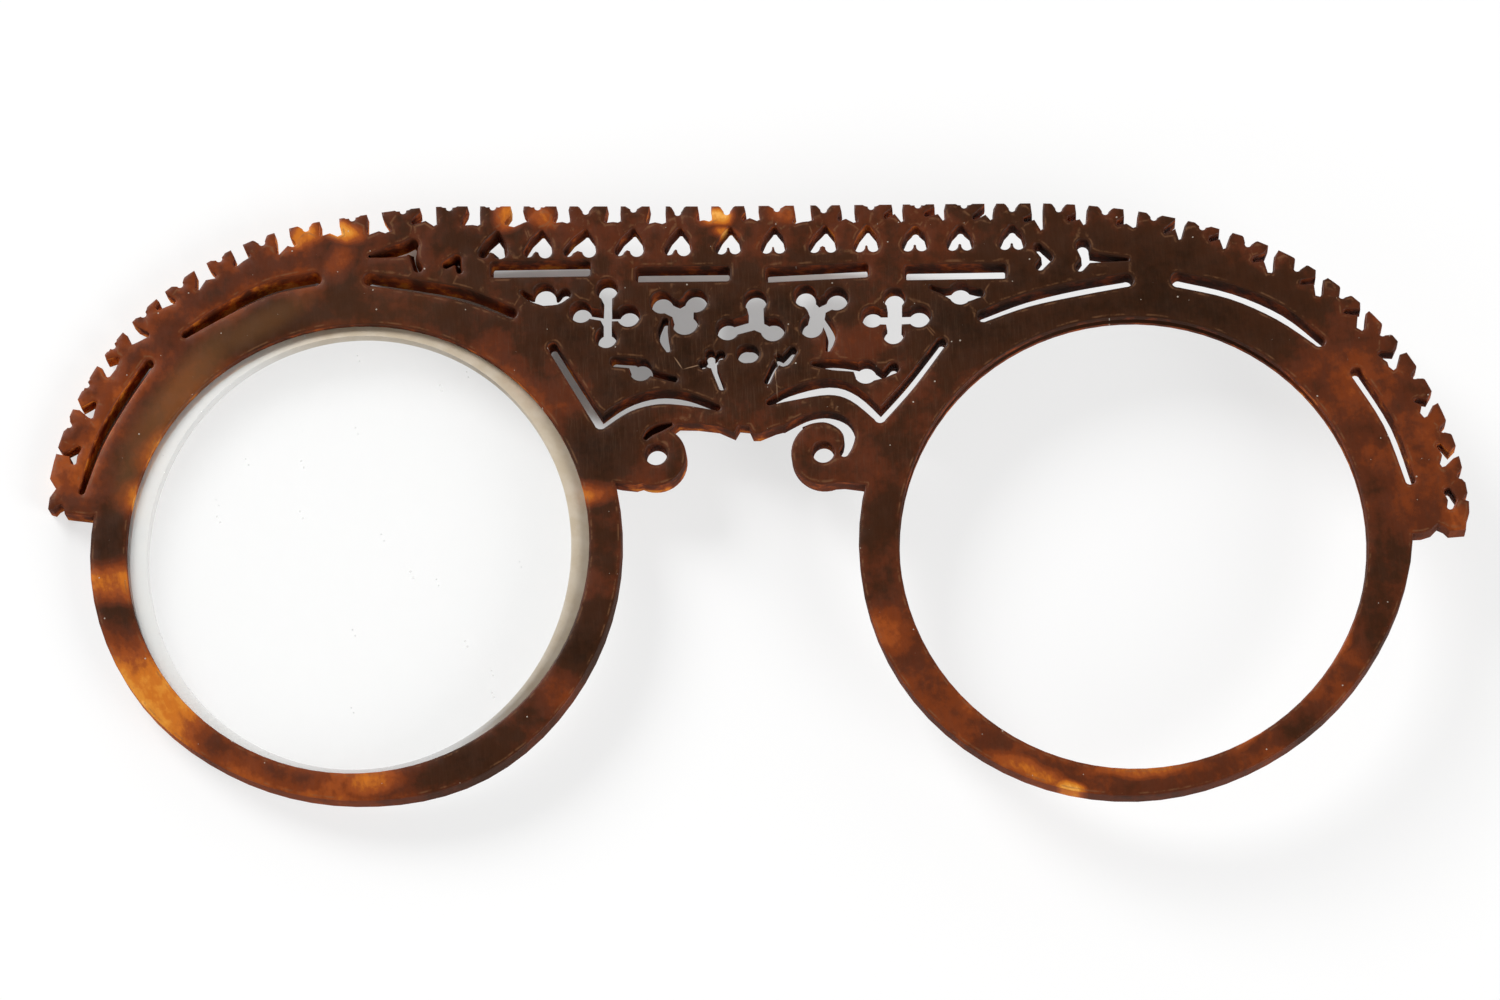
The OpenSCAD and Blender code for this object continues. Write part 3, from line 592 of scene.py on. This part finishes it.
def tortoiseshell():
    material, tree = startMaterial("tortoiseshell")
    t = tortoise
    p = plateVector(tree)
    flat = vectorCalc(tree, "MULTIPLY", p, t["flatten"])
    wander = noise(tree, flat, *t["noises"]["wander"]).outputs["Color"]
    wander = vectorCalc(tree, "SUBTRACT", wander, (0.5, 0.5, 0.5))
    warped = vectorCalc(tree, "MULTIPLY_ADD", wander, (t["warp"],) * 3, flat)
    lip = attribute(tree, "lip")
    wall = spread(tree, "wall", calc(tree, "ABSOLUTE", normalZ(tree)))
    face = calc(tree, "SUBTRACT", 1.0, wall)
    dust = shellNoise(tree, "dust", p)

    def onFaces(a, b):
        return calc(tree, "MULTIPLY", calc(tree, "MULTIPLY", a, b), face)

    ramp = add(tree, "ShaderNodeValToRGB", {"Fac": shellGlow(tree, p, flat, warped, lip, wall)})
    ramp.color_ramp.interpolation = "EASE"
    elements = ramp.color_ramp.elements
    for i, (at, shade) in enumerate(t["shades"]):
        element = elements[i] if i < 2 else elements.new(at)
        element.position, element.color = at, (*shade, 1)
    oliveArea = patchSum(tree, flat, t["oliveAreas"], 0.0, t["patchEdge"])
    colour = blendColour(tree, oliveArea, ramp.outputs["Color"], (*t["olive"], 1))
    # a paler haze in soft streaks on the faces
    haze = spread(tree, "haze", shellStreaks(tree, "haze", p))
    haze = onFaces(haze, spread(tree, "hazeDust", dust))
    colour = blendColour(tree, haze, colour, (*t["haze"], 1))
    # a painted highlight line a little way in from each edge, broken in places by noise
    line = calc(tree, "MULTIPLY", spread(tree, "highlightStarts", lip),
                spread(tree, "highlightEnds", lip))
    highlightBreaks = spread(tree, "highlightBreaks", shellNoise(tree, "highlightBreaks", p))
    colour = blendColour(tree, onFaces(line, highlightBreaks), colour, (*t["lip"], 1))
    # upright striae, closest over the bridge
    striae = spread(tree, "striae", shellStreaks(tree, "striae", p))
    nearBridge = patchSum(tree, flat, [t["bridge"]], t["striaeElsewhere"], t["patchEdge"])
    colour = blendColour(tree, onFaces(striae, nearBridge), colour, (*t["haze"], 1))
    cracked = vectorCalc(tree, "MULTIPLY_ADD", wander, (t["crackWander"],) * 3, flat)
    crack = patchSum(tree, cracked, t["cracks"], 0.0, t["crackEdge"])
    colour = blendColour(tree, crack, colour, (*t["crack"], 1))
    speck = calc(tree, "MULTIPLY", specks(tree, p, *t["speck"]), t["speckShare"])
    colour = blendColour(tree, speck, colour, (*t["dust"], 1))
    rough = calc(tree, "MAXIMUM", spread(tree, "rough", dust),
                 calc(tree, "MULTIPLY", wall, t["wallRough"]))
    # file marks, mostly upright, fine scratches both ways, soft swells and pits
    height = 0.0
    for name, high in t["relief"].items():
        kind = shellStreaks if name in t["streaks"] else shellNoise
        height = calc(tree, "MULTIPLY_ADD", kind(tree, name, p), high, height)
    bump = add(tree, "ShaderNodeBump", {"Strength": 1.0, "Distance": mm, "Height": height})
    shader = add(tree, "ShaderNodeBsdfPrincipled",
                 {"Base Color": colour, "Roughness": rough, "IOR": t["ior"],
                  "Specular IOR Level": t["specular"], "Normal": bump.outputs[0]})
    add(tree, "ShaderNodeOutputMaterial", {"Surface": shader.outputs[0]})
    return material


lens = {        # lengths in mm
    "middle": (-33.15, -11.45, 1.2),
    "rim": 20.5, "land": 0.2,       # radius and width of the bevelled edge's tip
    "thickness": 2.2,
    "edge": 1.5, "cap": 18.6,       # thickness at this radius
    "opening": 19.9,
    # width of the ground ring inside the opening: even part, up-down, left-right, oval
    "ring": (1.165, 0.25, -0.075, 0.51),
    "steps": 240,
    "faceSteps": (0.12, 0.3, 0.5, 0.7, 0.85, 0.94, 1.0),    # shares of the face's radius
    "ringSteps": (0.02, 0.5, 1.0),                          # shares of the ring's width
    "sharp": 15,        # degrees, above which an edge stays crisp
}


def groundLens():
    # a profile turned round the lens, whose ground ring is wider at the sides. Both faces
    # are caps of one sphere: its radius is the sum of the squares of the cap's radius and
    # rise, over twice the rise
    s = lens
    angle = np.linspace(0, 2 * math.pi, s["steps"], endpoint=False)
    even, up, aside, oval = s["ring"]
    ring = even + up * np.sin(angle) + aside * np.cos(angle) + oval * np.cos(2 * angle)
    cap = s["opening"] - ring
    rise = (s["thickness"] - s["edge"]) / 2
    ball = (s["cap"] ** 2 + rise ** 2) / (2 * rise)
    share, ease = np.array(s["faceSteps"]), np.array(s["ringSteps"])
    radius = share[:, None] * cap[None]
    high = s["thickness"] / 2 - ball + np.sqrt(ball ** 2 - radius ** 2)
    edgeRadius = cap[None] + ease[:, None] * (s["rim"] - cap[None])
    edgeHigh = high[-1][None] + ease[:, None] * (s["land"] / 2 - high[-1][None])
    radius = np.vstack([radius, edgeRadius])
    high = np.vstack([high, edgeHigh])
    ground = np.concatenate([np.zeros(len(share)), np.ones(len(ease))])
    radius = np.vstack([radius, radius[::-1]])
    high = np.vstack([high, -high[::-1]])
    ground = np.concatenate([ground, ground[::-1]])
    k, n = radius.shape
    x = s["middle"][0] + radius * np.cos(angle)
    y = s["middle"][1] + radius * np.sin(angle)
    z = s["middle"][2] + high
    co = np.stack([x, y, z], axis=2).reshape(-1, 3)
    poles = np.array([[*s["middle"][:2], s["middle"][2] + s["thickness"] / 2],
                      [*s["middle"][:2], s["middle"][2] - s["thickness"] / 2]])
    index = np.arange(k * n).reshape(k, n)
    turned = np.roll(index, -1, axis=1)
    quads = np.stack([index[:-1], index[1:], turned[1:], turned[:-1]], axis=2).reshape(-1, 4)
    top = np.column_stack([np.full(n, k * n), index[0], turned[0]])
    low = np.column_stack([np.full(n, k * n + 1), turned[-1], index[-1]])
    ground = np.concatenate([np.repeat(ground, n), [0, 0]])
    return np.vstack([co, poles]), quads, np.vstack([top, low]), ground


glass = {
    "tint": (0.80, 0.81, 0.79),
    "faceAlpha": 0.06,
    "cream": (0.52, 0.43, 0.31),
    "pale": (0.74, 0.75, 0.73),
    "cloudy": (0.8, 0.76, 0.68),
    "dust": (0.62, 0.61, 0.59),
    "height": 0.55,             # y of the middle from which the ring's painted reflection of the shell is counted, mm
    "lean": 0.55,               # by what y counts against x
    "paintedReflection": (-6.0, 9.0),        # where the ring's painted reflection of the shell starts and is all cream, mm
    "clouds": (0.6, 4, 0.6),    # cycles per mm, detail, roughness
    "cloudShare": (0.35, 0.7, 0.0, 0.25),
    "veil": (0.42, 0.90),       # opacity of the ring where it is pale and where it is cream
    "rough": (0.06, 0.55),      # of the faces and of the ring
    "speck": (0.42, "Red", 0.84, 0.05),     # cells per mm, channel, share of bare ones, radius
    "speckAlpha": 0.3,
    "groundEdge": (0.2, 0.8),   # shares of the way into the ring where it starts and is full
    "front": (0.1, 0.4),        # how far a face looks up: none of the front's dust, and all
    "ior": 1.5,
}


def lensGlass():
    material, tree = startMaterial("lensGlass")
    g = glass
    p = plateVector(tree)
    # the ground ring is painted cream to the right and top, a reflection of the shell, and left
    # pale frosted glass to the left
    x, y, _ = parted(tree, moved(tree, p, (lens["middle"][0], g["height"], 0)))
    lean = calc(tree, "ADD", x, calc(tree, "MULTIPLY", y, g["lean"]))
    paintedReflection = span(tree, lean, *g["paintedReflection"])
    cloudy = span(tree, noise(tree, p, *g["clouds"]).outputs["Fac"], *g["cloudShare"])
    ground = span(tree, attribute(tree, "ground"), *g["groundEdge"])
    ring = blendColour(tree, paintedReflection, (*g["pale"], 1), (*g["cream"], 1))
    ring = blendColour(tree, cloudy, ring, (*g["cloudy"], 1))
    # dust lies on the front face only
    front = span(tree, normalZ(tree), *g["front"])
    speck = calc(tree, "MULTIPLY", specks(tree, p, *g["speck"]), front)
    colour = blendColour(tree, ground, (*g["tint"], 1), ring)
    colour = blendColour(tree, speck, colour, (*g["dust"], 1))
    veil = calc(tree, "SUBTRACT", span(tree, paintedReflection, 0.0, 1.0, *g["veil"]), g["faceAlpha"])
    alpha = calc(tree, "MULTIPLY_ADD", ground, veil, g["faceAlpha"])
    alpha = calc(tree, "MAXIMUM", alpha, calc(tree, "MULTIPLY", speck, g["speckAlpha"]))
    rough = span(tree, ground, 0, 1, *g["rough"])
    shader = add(tree, "ShaderNodeBsdfPrincipled",
                 {"Base Color": colour, "Roughness": rough, "Alpha": alpha, "IOR": g["ior"]})
    add(tree, "ShaderNodeOutputMaterial", {"Surface": shader.outputs[0]})
    return material


co, quads, tris, lip = carvedShell()
shellPiece = meshPiece("shell_front_carved", co, quads, tris, {"lip": lip})
shellPiece.data.set_sharp_from_angle(angle=math.radians(shell["sharp"]))
weighted = shellPiece.modifiers.new("faceNormals", "WEIGHTED_NORMAL")
weighted.keep_sharp = True
shellPiece.data.materials.append(tortoiseshell())
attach(shellPiece, "root")
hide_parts("shell_front")
print("shell carved:", len(shellPiece.data.polygons), "faces")

co, quads, tris, ground = groundLens()
lensPiece = meshPiece("left_lens_ground", co, quads, tris, {"ground": ground})
lensPiece.data.set_sharp_from_angle(angle=math.radians(lens["sharp"]))
lensPiece.data.materials.append(lensGlass())
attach(lensPiece, "root")
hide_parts("left_lens")
print("lens ground:", len(lensPiece.data.polygons), "faces")


table = {
    "size": 6.0, "left": -0.060,    # side, and x where it meets the back of the object, m
    "tilt": 3.5,                    # degrees down to the right
    "white": 0.97,
    "fill": 0.70,                   # share of plain white that the camera sees in it
    "plain": (0.965, 0.965, 0.962),
    # painted shade: where the shell lies close, it takes that away: x, y, half length, half
    # width, angle, share
    "paintedShade": [
        (-54.2, 11.8, 7.6, 1.5, 63, 1.0), (-42.7, 23.2, 7.4, 1.5, 25, 1.0),
        (-26.2, 24.0, 7.8, 1.5, -15, 1.0), (-29.0, 27.4, 4.5, 1.8, 0, 1.0),
        (-25.3, 26.9, 1.8, 1.6, 0, 1.0), (-6.0, 26.0, 21.0, 0.95, -0.3, 0.8),
        (-6.0, 22.0, 3.4, 3.6, 0, 0.6), (1.5, 20.6, 4.2, 4.0, 0, 0.5),
        (7.2, 21.0, 3.2, 3.6, 0, 0.4), (-12.5, 21.4, 3.6, 3.4, 0, 0.3),
        (-14.6, 16.6, 4.8, 1.7, -58, 0.9), (-8.0, 13.6, 6.0, 1.8, 8, 0.5),
        (-9.0, 17.6, 3.6, 1.4, -8, 0.7), (-2.5, 17.6, 2.2, 2.4, 0, 0.4),
    ],
    "paintedShadeEdge": (1.3, 0.7),
    "tint": (0.66, 0.53, 0.45),     # painted light that came through the shell, as the floor's colour there
}


def paleTable():
    half, tilt = table["size"] / 2, math.radians(table["tilt"])
    corner = np.array([[-half, -half], [half, -half], [half, half], [-half, half]])
    z = -(corner[:, 0] - table["left"]) * math.tan(tilt)
    co = np.column_stack([corner, z]) / mm
    piece = meshPiece("table", co, np.array([[0, 1, 2, 3]]), np.empty((0, 3), int), {})
    material, tree = startMaterial("tableWhitePaintedShade")
    ray = add(tree, "ShaderNodeLightPath").outputs
    seen = calc(tree, "MAXIMUM", ray["Is Camera Ray"],
                calc(tree, "MAXIMUM", ray["Is Glossy Ray"], ray["Is Transmission Ray"]))
    # painted shadow on the floor under the left brow, tinted brown by painted light from the
    # shell
    shade = patchSum(tree, plateVector(tree), table["paintedShade"], 0.0, table["paintedShadeEdge"])
    paintedFloorTone = blendColour(tree, calc(tree, "MULTIPLY", shade, shade), (table["white"],) * 3 + (1,),
                       (*table["tint"], 1))
    plain = add(tree, "ShaderNodeBsdfDiffuse", {"Color": paintedFloorTone})
    white = add(tree, "ShaderNodeEmission", {"Color": (*table["plain"], 1), "Strength": 1.0})
    fill = calc(tree, "MULTIPLY", calc(tree, "SUBTRACT", 1.0, shade), table["fill"])
    both = add(tree, "ShaderNodeMixShader",
               {0: calc(tree, "MULTIPLY", seen, fill), 1: plain.outputs[0], 2: white.outputs[0]})
    add(tree, "ShaderNodeOutputMaterial", {"Surface": both.outputs[0]})
    piece.data.materials.append(material)


studio = {
    "ceiling": 0.04, "horizon": 1.0,    # the world's strength
    "turn": (0.45, 0.78),               # heights of a direction between which that falls
    # name: place, size, power in watts
    "lamps": {"key": ((-0.55, 0.55, 0.62), 0.5, 9.0), "fill": ((0.75, -0.45, 0.50), 0.6, 5.0)},
}


def softStudio():
    world = bpy.data.worlds.new("studio")
    bpy.context.scene.world = world
    world.use_nodes = True
    tree = world.node_tree
    tree.nodes.clear()
    toward = add(tree, "ShaderNodeTexCoord").outputs["Generated"]
    level = span(tree, parted(tree, toward)["Z"], *studio["turn"], studio["horizon"],
                 studio["ceiling"])
    back = add(tree, "ShaderNodeBackground", {"Color": (1, 1, 1, 1), "Strength": level})
    add(tree, "ShaderNodeOutputWorld", {"Surface": back.outputs[0]})
    for name, (place, size, power) in studio["lamps"].items():
        light = bpy.data.lights.new(name, "AREA")
        light.shape, light.size, light.energy = "DISK", size, power
        lamp = bpy.data.objects.new(name, light)
        lamp.location = place
        lamp.rotation_mode = "QUATERNION"
        lamp.rotation_quaternion = Vector(place).to_track_quat("Z", "Y")
        bpy.context.scene.collection.objects.link(lamp)


# The camera stands above the lower edge and looks a little to the left.
camera = {
    "yaw": 0.045063, "pitch": 0.271042, "roll": -0.001559,   # radians
    "aim": (0.5207, -7.8211, 2.4), "away": 513.338,         # mm
    "lens": 144.0, "sensor": 36.0, "clip": (0.01, 20.0),
}


def photoCamera():
    yaw, pitch, roll = camera["yaw"], camera["pitch"], camera["roll"]
    back = Vector((math.sin(yaw), -math.sin(pitch) * math.cos(yaw),
                   math.cos(pitch) * math.cos(yaw)))
    level = (-back).cross(Vector((0, 1, 0))).normalized()
    rise = level.cross(-back)
    right = math.cos(roll) * level + math.sin(roll) * rise
    up = math.cos(roll) * rise - math.sin(roll) * level
    data = bpy.data.cameras.new("photoCamera")
    data.lens, data.sensor_width = camera["lens"], camera["sensor"]
    data.clip_start, data.clip_end = camera["clip"]
    piece = bpy.data.objects.new("photoCamera", data)
    turn = Matrix((right, up, back)).transposed().to_4x4()
    place = (Vector(camera["aim"]) + back * camera["away"]) * mm
    piece.matrix_world = Matrix.Translation(place) @ turn
    bpy.context.scene.collection.objects.link(piece)
    bpy.context.scene.camera = piece


paleTable()
softStudio()
photoCamera()
print("table, studio and camera set")
bpy.context.scene.view_settings.view_transform = "Standard"
bpy.context.view_layer.update()
